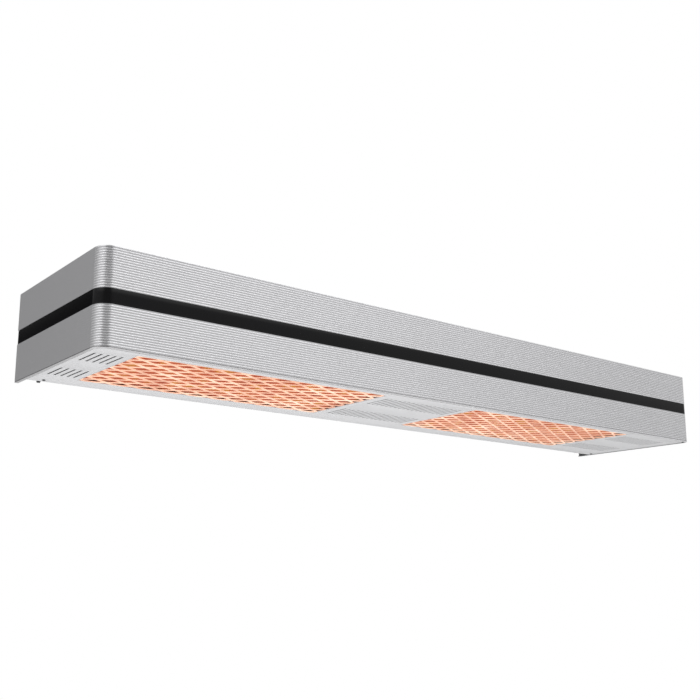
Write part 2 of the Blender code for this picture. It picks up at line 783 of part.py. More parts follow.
# ---- Electrics ----------------------------------------------------------------------------------------------
def make_terminal_block():
    (left, right), (low, high) = TERMINAL_X, TERMINAL_Z
    near = REAR_Y - TERMINAL_DEPTH
    block = box("terminal_block", (left, near, low), (right, REAR_Y, high), "grey_plastic", bevel=0.0008)
    middle = (low + high) / 2
    first = left + (right - left - (TERMINALS - 1) * TERMINAL_PITCH) / 2
    bores = [
        rod(
            f"terminal_bore_{k}",
            TERMINAL_BORE_R,
            (first + k * TERMINAL_PITCH, near - TERMINAL_DEPTH / 2, middle),
            (first + k * TERMINAL_PITCH, near + TERMINAL_DEPTH * 0.8, middle),
            sides=10,
        )
        for k in range(TERMINALS)
    ]
    combine(block, bores, "DIFFERENCE")


def make_controller():
    """The power controller under the top cover, with its finned heat sink below it."""
    (left, right), (near, far) = CONTROLLER_X, CONTROLLER_Y
    low = UNDER_COVER - CONTROLLER_H
    box("power_controller", (left, near, low), (right, far, UNDER_COVER), "plastic", bevel=0.0010)
    top = low - GAP
    root = top - SINK_BASE_T
    tip = top - SINK_H
    comb = []
    for k in range(FINS):
        start = near + k * FIN_PITCH
        comb += [(start, root), (start, tip), (start + FIN_T, tip), (start + FIN_T, root)]
    outline = [(near, top), *comb[1:-1], (comb[-1][0], top)]
    slab("heat_sink", [outline], left + SINK_INSET_X, right - SINK_INSET_X, "YZ", "aluminium")


def make_cutout_and_earth():
    low = SHIELD_Z + SHIELD_T + GAP
    body = rod(
        "thermal_cutout",
        CUTOUT_R,
        (CUTOUT_X, WINDOW_CENTRE_Y, low),
        (CUTOUT_X, WINDOW_CENTRE_Y, low + CUTOUT_H),
        "plastic",
    )
    length, width, thickness = CUTOUT_STRAP
    strap = box(
        "cutout_strap",
        (CUTOUT_X - length / 2, WINDOW_CENTRE_Y - width / 2, low),
        (CUTOUT_X + length / 2, WINDOW_CENTRE_Y + width / 2, low + thickness),
    )
    combine(body, [strap])
    x, z = EARTH_AT
    near, far = EARTH_NUT_Y
    stud = rod("earth_stud", EARTH_STUD_R, (x, REAR_Y - EARTH_STUD_L, z), (x, REAR_Y, z), "brass", sides=12)
    nut = rod("earth_nut", EARTH_NUT_R, (x, REAR_Y - far, z), (x, REAR_Y - near, z), sides=6)
    combine(stud, [nut])


def make_gland():
    """The supply inlet in the rear panel: a flanged body outside, threaded through to a locknut inside."""
    start = -RECESS + GAP
    inside = -RECESS - SHEET - GLAND_IN
    shoulder = start + GLAND_FLANGE_T
    profile = [
        (GLAND_BORE_R, inside),
        (GLAND_THREAD_R, inside),
        (GLAND_THREAD_R, start),
        (GLAND_FLANGE_R, start),
        (GLAND_FLANGE_R, shoulder),
        (GLAND_NOSE_R, shoulder + 0.0010),
        (GLAND_NOSE_R, start + GLAND_OUT),
        (GLAND_BORE_R, start + GLAND_OUT),
    ]
    turned("supply_gland", profile, (GLAND_X, 0, GLAND_Z), "plastic")
    low = REAR_Y - LOCKNUT_T
    nut_bore_r = GLAND_THREAD_R + GAP
    profile = [(nut_bore_r, low), (LOCKNUT_R, low), (LOCKNUT_R, REAR_Y), (nut_bore_r, REAR_Y)]
    turned("gland_locknut", profile, (GLAND_X, 0, GLAND_Z), "plastic")


def make_leads():
    """The wires inside: from the gland to the terminals, and from the controller to each tray."""
    lead(
        "supply_lead",
        [
            (GLAND_X, REAR_Y - 0.0107, GLAND_Z + 0.0005),
            (GLAND_X, REAR_Y - 0.0297, GLAND_Z + 0.0020),
            (0.5600, REAR_Y - 0.0477, -0.0300),
            (0.5300, REAR_Y - 0.0477, -0.0020),
            (0.5150, REAR_Y - 0.0347, 0.0150),
            (0.5150, REAR_Y - 0.0207, 0.0150),
        ],
        SUPPLY_LEAD_R,
    )
    on_shield = SHIELD_Z + SHIELD_T + GAP + ZONE_LEAD_R + 0.0008
    through_y, through_z = GROMMET_AT
    for name, x, run_y, offset in zip(ZONES, WINDOW_CENTRES_X, (-0.0780, -0.0900), (0.0030, -0.0030)):
        lead(
            f"zone_lead_{name}",
            [
                (0.4695, -0.1500, 0.0440 + offset),
                (0.4620, -0.1400, 0.0430 + offset),
                (0.4600, -0.1100, 0.0360 + offset),
                (0.4600, -0.0750, 0.0305 + offset),
                (0.4560, through_y - 0.0010, through_z + offset),
                (0.4400, through_y, through_z + offset),
                (0.4200, (run_y + through_y) / 2, 0.0060 + 1.5 * offset),
                (0.3950, run_y, on_shield + 0.0050),
                (0.3600, run_y, on_shield + 0.0004),
                (x + 0.1000, run_y - 0.0040, on_shield),
                (x + 0.0300, WINDOW_CENTRE_Y + 0.0300, on_shield),
                (x + 0.0060, WINDOW_CENTRE_Y + 0.0030, on_shield - 0.0010),
                (x, WINDOW_CENTRE_Y, TRAY_TOP_Z + 0.0070),
                (x, WINDOW_CENTRE_Y, TRAY_TOP_Z + 0.0005),
            ],
            ZONE_LEAD_R,
        )


# ---- Wall mounting ------------------------------------------------------------------------------------------
def make_wall_mounting():
    """The rail on the wall has a hook along its top. The hanger behind the heater drops over it."""
    length, thickness, height = RAIL_SIZE
    top = height / 2
    lip = thickness + HOOK_REACH
    section = [
        (0, -top),
        (0, top),
        (-HOOK_REACH, top),
        (-HOOK_REACH, top + HOOK_RISE),
        (-lip, top + HOOK_RISE),
        (-lip, top - thickness),
        (-thickness, top - thickness),
        (-thickness, -top),
    ]
    rail = slab("wall_rail", [section], -length / 2, length / 2, "YZ", "paint")
    bores = [
        slab(f"wall_rail_slot_{k}", [rectangle((x, 0), RAIL_SLOT)], -HOOK_REACH, HOOK_REACH, "XZ")
        for k, x in enumerate(RAIL_SLOTS_X)
    ]
    combine(rail, bores, "DIFFERENCE")
    web = top + HOOK_RISE + GAP
    back = -RECESS + GAP
    section = [
        (back, web - HANGER_FOOT),
        (back, web + HANGER_T),
        (-TONGUE_SET, web + HANGER_T),
        (-TONGUE_SET, web - TONGUE_H),
        (-TONGUE_SET - HANGER_T, web - TONGUE_H),
        (-TONGUE_SET - HANGER_T, web),
        (back + HANGER_T, web),
        (back + HANGER_T, web - HANGER_FOOT),
    ]
    slab("hanger_rail", [section], -HANGER_HALF, HANGER_HALF, "YZ", "steel")
    for name, x in zip(ZONES, PAD_X):
        box(
            f"spacer_pad_{name}",
            (x - PAD_W / 2, back, PAD_Z[0]),
            (x + PAD_W / 2, -thickness - GAP, PAD_Z[1]),
            "rubber",
            bevel=0.0010,
        )


make_shroud()
make_top_cover()
make_rear_panel()
make_corner_angles()
make_fascia()
make_catches()
make_guards()
make_hinges()
make_emitters()
make_cross_rails()
make_heat_shield()
make_baffle()
make_terminal_block()
make_controller()
make_cutout_and_earth()
make_gland()
make_leads()
make_wall_mounting()
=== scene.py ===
import math

import bmesh
import bpy
from mathutils import Matrix, Vector


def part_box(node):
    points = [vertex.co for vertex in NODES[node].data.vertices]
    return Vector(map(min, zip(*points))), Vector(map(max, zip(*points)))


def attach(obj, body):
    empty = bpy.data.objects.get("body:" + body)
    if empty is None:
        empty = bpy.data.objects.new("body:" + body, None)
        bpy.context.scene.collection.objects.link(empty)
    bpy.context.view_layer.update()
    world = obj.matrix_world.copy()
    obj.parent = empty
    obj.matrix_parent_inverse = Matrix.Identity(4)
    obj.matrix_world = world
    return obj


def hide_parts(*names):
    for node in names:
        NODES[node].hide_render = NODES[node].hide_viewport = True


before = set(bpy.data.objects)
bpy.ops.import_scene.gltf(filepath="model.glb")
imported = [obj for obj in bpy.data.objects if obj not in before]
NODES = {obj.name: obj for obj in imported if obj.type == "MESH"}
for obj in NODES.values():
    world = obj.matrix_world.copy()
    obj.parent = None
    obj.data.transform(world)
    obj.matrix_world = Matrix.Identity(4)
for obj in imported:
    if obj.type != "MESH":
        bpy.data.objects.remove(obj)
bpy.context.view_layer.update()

ZONES = ("left", "right")

# ---- Places read from the frame ------------------------------------------------------------------
LOWER_LO, LOWER_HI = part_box("lower_shroud")
UPPER_LO, UPPER_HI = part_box("upper_shroud")
BAND_LO, BAND_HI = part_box("trim_band")
FASCIA_LO, FASCIA_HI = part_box("fascia")
LENGTH = LOWER_HI.x - LOWER_LO.x
HALF_L = LENGTH / 2
FRONT = LOWER_LO.y
FASCIA_Z = FASCIA_LO.z
FASCIA_BACK = FASCIA_HI.y
TILE_FACE_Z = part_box("emitter_tile_left_1")[0].z
COVER_LO, COVER_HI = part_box("top_cover")
PANEL_LO, PANEL_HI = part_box("rear_panel")
HANGER_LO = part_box("hanger_rail")[0]

# ---- Sizes of the fine detail, in metres ---------------------------------------------------------
SHEET = 0.0015
SMOOTH = 40  # edges of fewer degrees are shaded smooth
FLUTE_PITCH = 0.00316
BEAD_WIDTH = 0.0013
BEAD_HEIGHT = 0.00045
BEAD_STEPS = 6
BEAD_SMOOTH = 50  # the same for the two fluted courses
BEAD_FADE = math.sin(math.radians(6.4))  # the beads fade out over this angle, where a corner meets a side
SHROUD_T = 0.0030
LIP_DEPTH = 0.0050
LIP_T = 0.0014
EDGE_R = 0.0004
LOWER_FIRST_BEAD = 0.0037  # the lowest bead's middle, over the shroud's lower edge
GROOVE_DEPTH = 0.0020  # the groove that holds a dark strip of painted shade
GROOVE_Z = 0.0007
GROOVE_W = 0.0006
SHADE_STRIP_INSET = 0.0008
SHADE_STRIP_CLEAR = 0.00003
CORNER_R = 0.0195
CORNER_STEPS = 28
INSIDE_SLOPE = 0.3  # a face that looks inward is painted dark, as painted shade, if its normal's z is under this
BAND_EDGE = 0.0005
BAND_TURN = 0.3  # where the middle of a rounded edge lies, as a share of the edge
JOINT_W = 0.0035  # between the shroud's lip and the fascia
FASCIA_GAP = 0.0006  # at the fascia's ends
FASCIA_CORNER_STEPS = 12
PANEL_EDGE = 0.0003
WALL_SLOPE = 0.5  # a face of a slot is its wall if its normal's z is under this
WINDOW_CLEAR = 0.0008
WINDOW_R = 0.0012
WINDOW_CORNER_STEPS = 3
SLOT_PITCH = 0.0090
SLOT_SIZE = (0.0026, 0.0490)
SLOT_ROWS_Y = (-0.2039, -0.1032)  # the rows' middles
SLOT_GROUPS = ((-0.5927, 5), (-0.1294, 18), (0.4548, 14))  # the first slot's x, and how many
SLOT_END = 0.98  # a slot's end radius, as a share of half its width
SLOT_CORNER_STEPS = 4
MESH_PITCH = (0.0403, 0.0235)
MESH_ROWS = 8
MESH_RIM = 0.0012
STRAND_W = 0.0031
STRAND_T = 0.0008
STRAND_TILT = math.radians(-20)
STRAND_STEP = 0.0018  # along the strand, from one section to the next
STRAND_RISE = 0.0002  # over the middle of the guard's box
STRAND_ROUND = 0.6  # 0 is a straight zigzag and 1 a smooth wave
# In half widths and half thicknesses.
STRAND_SECTION = ((-1, -0.4), (-0.85, -1), (0.85, -1), (1, -0.4), (1, 0.4), (0.85, 1), (-0.85, 1), (-1, 0.4))
KNUCKLE_FLAT = 0.6  # the share of the tilt that a strand loses at a knuckle
KNUCKLE_POWER = 6  # the higher, the shorter the flat of a knuckle
TILES_IN_ZONE = 6
TILE_GROOVES = 12
TILE_GROOVE_HALF = 0.0026
TILE_GROOVE_DEPTH = 0.0022
TILE_GROOVE_STEPS = 8
HEAD_R = 0.0040  # a cover screw's head
HEAD_H = 0.00095
HEAD_EDGE = 0.0002
HEAD_SEAT_EDGE = 0.0001
CROSS_ARM = (0.0005, 0.0020)  # the drive recess: half an arm's width, and its reach
COVER_SCREW_INSET = 0.0085
COVER_SCREWS_X = (-0.56, 0.56, 8)  # from, to and how many
COVER_END_SCREWS_Y = (-0.18, -0.11)
PANEL_SCREW_INSET = 0.0120
PANEL_SCREW_RISE = 0.0110
PANEL_SCREWS_X = (-0.50, 0.50, 6)
PANEL_END_SCREWS_Z = (-0.0340, 0.0080, 0.0500)
HANGER_T = 0.0020
RIVETS_X = (-0.49, 0.49, 9)
RIVET_RISE = 0.0100
RIVET_R = 0.0032
RIVET_H = 0.0011
RIVET_EDGE = 0.0004
STUB_R = RIVET_R / 3  # the stub in a rivet's middle
STUB_H = 1.3 * RIVET_H
STUB_EDGE = 0.0002
ROUND_SIDES = 24
TINY = 1e-6  # points nearer than this are one point


# ---- Materials -----------------------------------------------------------------------------------
def new_material(name):
    material = bpy.data.materials.new(name)
    material.use_nodes = True
    nodes = material.node_tree.nodes
    return material, nodes, material.node_tree.links, nodes["Principled BSDF"]


def noise(nodes, links, scale, stretch=(1, 1, 1), detail=3.0, roughness=0.5):
    """A noise factor in object space, stretched along the axes."""
    place = nodes.new("ShaderNodeTexCoord")
    mapping = nodes.new("ShaderNodeMapping")
    mapping.inputs["Scale"].default_value = stretch
    links.new(place.outputs["Object"], mapping.inputs["Vector"])
    texture = nodes.new("ShaderNodeTexNoise")
    texture.inputs["Scale"].default_value = scale
    texture.inputs["Detail"].default_value = detail
    texture.inputs["Roughness"].default_value = roughness
    links.new(mapping.outputs["Vector"], texture.inputs["Vector"])
    return texture.outputs["Fac"]


def ramp(nodes, links, factor, stops):
    """A colour ramp through (place, colour) stops."""
    node = nodes.new("ShaderNodeValToRGB")
    node.color_ramp.elements.remove(node.color_ramp.elements[1])
    first, *others = stops
    node.color_ramp.elements[0].position = first[0]
    node.color_ramp.elements[0].color = (*first[1], 1)
    for place, colour in others:
        node.color_ramp.elements.new(place).color = (*colour, 1)
    links.new(factor, node.inputs["Fac"])
    return node.outputs["Color"]


def spread(nodes, links, factor, low, high, source=(0.3, 0.7)):
    """Maps a factor's middle range to low..high."""
    node = nodes.new("ShaderNodeMapRange")
    node.inputs["From Min"].default_value, node.inputs["From Max"].default_value = source
    node.inputs["To Min"].default_value = low
    node.inputs["To Max"].default_value = high
    links.new(factor, node.inputs["Value"])
    return node.outputs["Result"]


def bump(nodes, links, shader, height, distance, strength=1.0):
    node = nodes.new("ShaderNodeBump")
    node.inputs["Strength"].default_value = strength
    node.inputs["Distance"].default_value = distance
    links.new(height, node.inputs["Height"])
    links.new(node.outputs["Normal"], shader.inputs["Normal"])


def grey(value):
    return (value, value, value)


def brushed_metal(name, colour, spread_by, roughness, stretch, grain, height):
    """A metal with fine drawn lines: stretch is small along the lines and large across them."""
    material, nodes, links, shader = new_material(name)
    lines = noise(nodes, links, grain, stretch, 4.0, 0.6)
    blotch = noise(nodes, links, 9.0, (1, 1, 1), 2.0)
    mix = nodes.new("ShaderNodeMix")
    mix.inputs["Factor"].default_value = 0.5
    links.new(lines, mix.inputs["A"])
    links.new(blotch, mix.inputs["B"])
    low = tuple(c * (1 - spread_by) for c in colour)
    high = tuple(min(1, c * (1 + spread_by)) for c in colour)
    links.new(
        ramp(nodes, links, mix.outputs["Result"], [(0.35, low), (0.65, high)]),
        shader.inputs["Base Color"],
    )
    links.new(
        spread(nodes, links, lines, roughness * 0.9, roughness * 1.1),
        shader.inputs["Roughness"],
    )
    shader.inputs["Metallic"].default_value = 1.0
    bump(nodes, links, shader, lines, height, 0.6)
    return material


def powder_coat(name, colour, roughness=0.42):
    """Paint with a fine orange peel, slightly uneven in tone."""
    material, nodes, links, shader = new_material(name)
    peel = noise(nodes, links, 900.0, (1, 1, 1), 2.0, 0.5)
    tone = noise(nodes, links, 5.0, (1, 1, 1), 4.0, 0.6)
    low = tuple(c * 0.965 for c in colour)
    links.new(ramp(nodes, links, tone, [(0.35, low), (0.65, colour)]), shader.inputs["Base Color"])
    links.new(
        spread(nodes, links, tone, roughness - 0.05, roughness + 0.05),
        shader.inputs["Roughness"],
    )
    bump(nodes, links, shader, peel, 0.00004, 0.5)
    return material


def moulded(name, colour, roughness=0.5, grain=700.0, height=0.00005):
    """Moulded plastic or rubber with a fine spark-eroded grain."""
    material, nodes, links, shader = new_material(name)
    texture = noise(nodes, links, grain, (1, 1, 1), 3.0, 0.6)
    low = tuple(c * 0.85 for c in colour)
    links.new(ramp(nodes, links, texture, [(0.3, low), (0.7, colour)]), shader.inputs["Base Color"])
    links.new(
        spread(nodes, links, texture, roughness - 0.08, roughness + 0.08),
        shader.inputs["Roughness"],
    )
    bump(nodes, links, shader, texture, height, 0.6)
    return material


def zinc(name):
    """Galvanised sheet: pale spangles of slightly different grey and gloss."""
    material, nodes, links, shader = new_material(name)
    place = nodes.new("ShaderNodeTexCoord")
    cells = nodes.new("ShaderNodeTexVoronoi")
    cells.inputs["Scale"].default_value = 160.0
    links.new(place.outputs["Object"], cells.inputs["Vector"])
    tone = nodes.new("ShaderNodeSeparateColor")
    links.new(cells.outputs["Color"], tone.inputs["Color"])
    links.new(
        ramp(nodes, links, tone.outputs["Red"], [(0.0, (0.47, 0.48, 0.49)), (1.0, (0.63, 0.64, 0.65))]),
        shader.inputs["Base Color"],
    )
    links.new(
        spread(nodes, links, tone.outputs["Green"], 0.32, 0.52, (0, 1)),
        shader.inputs["Roughness"],
    )
    shader.inputs["Metallic"].default_value = 1.0
    scratch = noise(nodes, links, 60.0, (1, 8, 8), 3.0)
    bump(nodes, links, shader, scratch, 0.00003, 0.4)
    return material


def glowing_tile(name):
    """Fired clay at red heat: emission that is uneven over the tile, and grooves that glow brighter."""
    material, nodes, links, shader = new_material(name)
    place = nodes.new("ShaderNodeTexCoord")
    split = nodes.new("ShaderNodeSeparateXYZ")
    links.new(place.outputs["Object"], split.inputs["Vector"])
    groove = (TILE_FACE_Z, TILE_FACE_Z + TILE_GROOVE_DEPTH)
    depth = spread(nodes, links, split.outputs["Z"], 0.80, 1.35, groove)
    cloud = noise(nodes, links, 34.0, (1, 1, 1), 3.0, 0.6)
    fine = noise(nodes, links, 420.0, (1, 1, 1), 2.0, 0.5)
    shader.inputs["Base Color"].default_value = (0.24, 0.08, 0.045, 1)
    shader.inputs["Roughness"].default_value = 0.9
    colour = ramp(
        nodes,
        links,
        cloud,
        [
            (0.36, (0.38, 0.040, 0.022)),
            (0.45, (0.62, 0.100, 0.044)),
            (0.53, (0.76, 0.165, 0.055)),
            (0.58, (0.82, 0.270, 0.050)),
            (0.63, (0.82, 0.420, 0.040)),
        ],
    )
    links.new(colour, shader.inputs["Emission Color"])
    strength = nodes.new("ShaderNodeMath")
    strength.operation = "MULTIPLY"
    links.new(spread(nodes, links, fine, 0.35, 0.60), strength.inputs[0])
    links.new(depth, strength.inputs[1])
    links.new(strength.outputs["Value"], shader.inputs["Emission Strength"])
    bump(nodes, links, shader, fine, 0.0003, 0.5)
    return material


def steel_with_painted_glow(name):
    """Expanded steel: scaled matt metal with a peach base colour, and a faint painted glow, though the guard
    is no lamp.
    """
    material, nodes, links, shader = new_material(name)
    tint = noise(nodes, links, 22.0, (1, 1, 1), 3.0, 0.6)
    scale = noise(nodes, links, 900.0, (1, 1, 1), 2.0, 0.6)
    metal = [(0.34, (0.74, 0.42, 0.30)), (0.50, (0.87, 0.57, 0.42)), (0.66, (0.96, 0.76, 0.62))]
    glow = [(0.3, (1.0, 0.28, 0.11)), (0.7, (1.0, 0.42, 0.18))]
    links.new(ramp(nodes, links, tint, metal), shader.inputs["Base Color"])
    # The emission is a painted glow: the guard is no lamp.
    links.new(ramp(nodes, links, tint, glow), shader.inputs["Emission Color"])
    links.new(spread(nodes, links, tint, 0.10, 0.24), shader.inputs["Emission Strength"])
    links.new(spread(nodes, links, scale, 0.38, 0.55), shader.inputs["Roughness"])
    shader.inputs["Metallic"].default_value = 0.35
    bump(nodes, links, shader, scale, 0.00003, 0.5)
    return material


def gloss_black(name, specular=0.5):
    """Polished black, a little wavy, with faint dust."""
    material, nodes, links, shader = new_material(name)
    wave = noise(nodes, links, 14.0, (0.4, 0.4, 3), 2.0)
    dust = noise(nodes, links, 1500.0, (1, 1, 1), 2.0)
    links.new(
        ramp(nodes, links, dust, [(0.45, (0.0035, 0.0035, 0.004)), (0.75, (0.006, 0.006, 0.0065))]),
        shader.inputs["Base Color"],
    )
    links.new(spread(nodes, links, wave, 0.10, 0.17), shader.inputs["Roughness"])
    shader.inputs["IOR"].default_value = 1.33
    shader.inputs["Specular IOR Level"].default_value = specular
    bump(nodes, links, shader, wave, 0.0002, 0.25)
    return material


# A metal has a name, colour, unevenness, roughness, and its lines' stretch, grain and depth.
ALUMINIUM = brushed_metal("satin_aluminium", (0.872, 0.870, 0.889), 0.010, 0.22, (0.6, 0.6, 420), 3.0, 1e-6)
BAND = gloss_black("band_gloss_black")
# Painted shade: a copy of the band's black with almost no reflection, for the band's sides.
BAND_SIDE_SHADE = gloss_black("band_side_painted_shade", 0.015)
PAINT = powder_coat("casing_powder_coat", (0.70, 0.71, 0.72))
FASCIA_PAINT = powder_coat("fascia_powder_coat", (0.555, 0.557, 0.568), 0.40)
GUARD = steel_with_painted_glow("guard_steel_painted_glow")
TILE = glowing_tile("tile_red_hot_ceramic")
ZINC = zinc("galvanised_spangle")
DARK = brushed_metal("black_oxide_steel", (0.06, 0.06, 0.065), 0.15, 0.42, (1, 1, 1), 200.0, 0.00003)
STEEL = brushed_metal("spring_steel_bright", (0.45, 0.45, 0.46), 0.08, 0.30, (1, 12, 12), 60.0, 0.00002)
REFLECTOR = brushed_metal("reflector_rolled_aluminium", (0.80, 0.78, 0.74), 0.04, 0.28, (1, 30, 30), 20, 2e-5)
BOARD = moulded("ceramic_fibre_board", (0.82, 0.80, 0.74), 0.95, 350.0, 0.0004)
GREY = moulded("terminal_grey_nylon", (0.45, 0.46, 0.46), 0.5)
BLACK = moulded("moulded_black_nylon", (0.022, 0.022, 0.023), 0.45)
RAW = brushed_metal("extruded_aluminium", (0.72, 0.72, 0.73), 0.05, 0.34, (40, 1, 1), 20.0, 0.00002)
BRASS = brushed_metal("brass_turned", (0.70, 0.50, 0.20), 0.06, 0.28, (1, 30, 1), 40.0, 0.00001)
SLEEVE = moulded("silicone_lead_sleeve", (0.42, 0.09, 0.04), 0.55, 500.0, 0.00008)
RUBBER = moulded("rubber_pad", (0.025, 0.025, 0.026), 0.75, 400.0, 0.0001)
# Painted shade: a near-black paint for the faces inside the shroud, where shade falls.
INSIDE_SHADE = powder_coat("inside_painted_shade", (0.085, 0.086, 0.09), 0.6)
# Painted shade: the slots' walls are painted darker than the panel, for the shade inside the slots.
SLOT_WALL_SHADE = powder_coat("slot_wall_painted_shade", (0.25, 0.252, 0.258), 0.6)
SCREW = brushed_metal("screw_zinc", (0.55, 0.55, 0.56), 0.06, 0.30, (1, 1, 1), 300.0, 0.00002)

NODE_MATERIALS = {
    PAINT: ("top_cover", "rear_panel"),
    ZINC: (
        "shroud_liner",
        "corner_angle_left",
        "corner_angle_right",
        "cross_rail_1",
        "cross_rail_2",
        "cross_rail_3",
        "cross_rail_4",
        "terminal_baffle",
        "wall_rail",
        "hanger_rail",
    ),
    STEEL: ("catch_left", "catch_middle", "catch_right", "pivot_pin_left", "pivot_pin_right"),
    DARK: (
        "guard_frame_left",
        "guard_frame_right",
        "pivot_bracket_left",
        "pivot_bracket_right",
        "hinge_bracket_left",
        "hinge_bracket_right",
        "emitter_tray_left",
        "emitter_tray_right",
        "pivot_screw_left",
        "pivot_screw_right",
    ),
    REFLECTOR: ("heat_shield",),
    BOARD: ("insulation_board_left", "insulation_board_right"),
    GREY: ("terminal_block",),
    BLACK: ("power_controller", "thermal_cutout", "supply_gland", "gland_locknut"),
    RAW: ("heat_sink",),
    BRASS: ("earth_stud",),
    SLEEVE: ("supply_lead", "zone_lead_left", "zone_lead_right"),
    RUBBER: ("spacer_pad_left", "spacer_pad_right"),
}


def finish_nodes():
    for material, names in NODE_MATERIALS.items():
        for name in names:
            give(NODES[name], material)


def give(obj, material):
    obj.data.materials.clear()
    obj.data.materials.append(material)


# ---- Shapes --------------------------------------------------------------------------------------
def add(name, mesh, material, body, node=None):
    """Makes a piece that rides on a body and, where it has a node, stands for that node."""
    obj = bpy.data.objects.new(name, mesh)
    bpy.context.scene.collection.objects.link(obj)
    give(obj, material)
    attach(obj, body)
    if node:
        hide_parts(node)
    return obj


def smooth(obj, degrees=SMOOTH):
    obj.data.shade_smooth()
    obj.data.set_sharp_from_angle(angle=math.radians(degrees))


def repaint(obj, material, faces):
    """Gives some of a piece's faces a second material."""
    obj.data.materials.append(material)
    for face in faces:
        face.material_index = 1


def freeze(shape, name):
    """Turns a bmesh into a mesh, and frees it."""
    mesh = bpy.data.meshes.new(name)
    shape.to_mesh(mesh)
    shape.free()
    return mesh


def loft(shape, rings):
    """Joins rings of vertices by faces, and caps both ends."""
    count = len(rings[0])
    for first, second in zip(rings, rings[1:]):
        for k in range(count):
            after = (k + 1) % count
            shape.faces.new((first[k], first[after], second[after], second[k]))
    shape.faces.new(rings[0][::-1])
    shape.faces.new(rings[-1])


def stations(rear):
    """Points and outward normals along the shroud's U, from the left rear end to the right rear end."""
    found = [(Vector((-HALF_L, rear)), Vector((-1, 0)))]
    for side, start in ((-1, 180), (1, 270)):
        centre = Vector((side * (HALF_L - CORNER_R), FRONT + CORNER_R))
        for k in range(CORNER_STEPS + 1):
            angle = math.radians(start + 90 * k / CORNER_STEPS)
            normal = Vector((math.cos(angle), math.sin(angle)))
            found.append((centre + CORNER_R * normal, normal))
    found.append((Vector((HALF_L, rear)), Vector((1, 0))))
    return found


def sweep(profile, rear, relief=0.0):
    """A closed profile of (inset, z) points swept along the U, with its ends capped.

    Relief is the depth of the profile's beads, which fade out where the plain sides begin.
    """
    shape = bmesh.new()
    rings = []
    for point, normal in stations(rear):
        shown = min(1.0, abs(normal.y) / BEAD_FADE)
        ring = []
        for inset, z in profile:
            place = point - normal * (inset * shown if inset <= relief else inset)
            ring.append(shape.verts.new((place.x, place.y, z)))
        rings.append(ring)
    loft(shape, rings)
    bmesh.ops.recalc_face_normals(shape, faces=shape.faces)
    return freeze(shape, "sweep")


def bead(z):
    """Half-round bead profile points, going up, at the height z."""
    points = []
    for k in range(BEAD_STEPS + 1):
        angle = math.pi * k / BEAD_STEPS
        points.append((BEAD_HEIGHT * (1 - math.sin(angle)), z - BEAD_WIDTH / 2 * math.cos(angle)))
    return points


def fluted_profile(low, high, first_bead, lip):
    """The shroud's section: beads and lands outside, a plain inner face, and perhaps a lip below."""
    outer = [(BEAD_HEIGHT, low)]
    if lip:
        outer += [
            (0, low + EDGE_R),
            (0, low + GROOVE_Z),
            (GROOVE_DEPTH, low + GROOVE_Z),
            (GROOVE_DEPTH, low + GROOVE_Z + GROOVE_W),
            (BEAD_HEIGHT, low + GROOVE_Z + GROOVE_W),
        ]
    z = first_bead
    while z + BEAD_WIDTH / 2 <= high + EDGE_R:
        outer += [(inset, min(max(at, low), high)) for inset, at in bead(z)]
        z += FLUTE_PITCH
    outer.append((BEAD_HEIGHT, high))
    inner = [(SHROUD_T - EDGE_R, high), (SHROUD_T, high - EDGE_R)]
    if lip:
        inner += [(SHROUD_T, low + LIP_T), (LIP_DEPTH, low + LIP_T), (LIP_DEPTH, low)]
    else:
        inner += [(SHROUD_T, low + EDGE_R), (SHROUD_T - EDGE_R, low)]
    return without_repeats(outer + inner)


def without_repeats(points):
    return [p for p, after in zip(points, points[1:] + points[:1]) if math.dist(p, after) > TINY]


def darken_inside(obj):
    """Paints the faces that look into the casing dark, as painted shade."""
    middle = Vector((0, (FRONT + FASCIA_BACK) / 2))
    inner = [
        face
        for face in obj.data.polygons
        if face.normal.xy.dot(middle - face.center.xy) > 0 and abs(face.normal.z) < INSIDE_SLOPE
    ]
    repaint(obj, INSIDE_SHADE, inner)


def make_course(name, profile, rear, node):
    """One of the shroud's two fluted courses."""
    obj = add(name, sweep(profile, rear, BEAD_HEIGHT), ALUMINIUM, "heater", node)
    smooth(obj, BEAD_SMOOTH)
    darken_inside(obj)


def make_shroud():
    low = fluted_profile(LOWER_LO.z, LOWER_HI.z, LOWER_LO.z + LOWER_FIRST_BEAD, True)
    make_course("shroud_lower_fluted", low, LOWER_HI.y, "lower_shroud")
    # A dark rubber strip in the groove is painted shade: it draws the groove's shadow line.
    strip_low = LOWER_LO.z + GROOVE_Z + SHADE_STRIP_CLEAR
    strip_high = strip_low + GROOVE_W - 2 * SHADE_STRIP_CLEAR
    shade_strip = [
        (SHADE_STRIP_INSET, strip_low),
        (SHADE_STRIP_INSET, strip_high),
        (GROOVE_DEPTH, strip_high),
        (GROOVE_DEPTH, strip_low),
    ]
    add("shroud_groove_shade_strip", sweep(shade_strip, LOWER_HI.y), RUBBER, "heater", None)
    courses = round((UPPER_HI.z - UPPER_LO.z) / FLUTE_PITCH)
    first = UPPER_HI.z - BEAD_WIDTH / 2 - (courses - 1) * FLUTE_PITCH
    high = fluted_profile(UPPER_LO.z, UPPER_HI.z, first, False)
    make_course("shroud_upper_fluted", high, UPPER_HI.y, "upper_shroud")


def make_band():
    inset = BAND_LO.x + HALF_L
    low, high = BAND_LO.z, BAND_HI.z
    turned = BAND_TURN * BAND_EDGE
    profile = [
        (inset + BAND_EDGE, low),
        (inset + turned, low + turned),
        (inset, low + BAND_EDGE),
        (inset, high - BAND_EDGE),
        (inset + turned, high - turned),
        (inset + BAND_EDGE, high),
        (SHROUD_T, high),
        (SHROUD_T, low),
    ]
    obj = add("trim_band_gloss", sweep(profile, BAND_HI.y), BAND, "heater", "trim_band")
    smooth(obj)
    # The band's sides, away from the front, get the painted shade copy.
    repaint(obj, BAND_SIDE_SHADE, [face for face in obj.data.polygons if abs(face.center.y - FRONT) > CORNER_R])


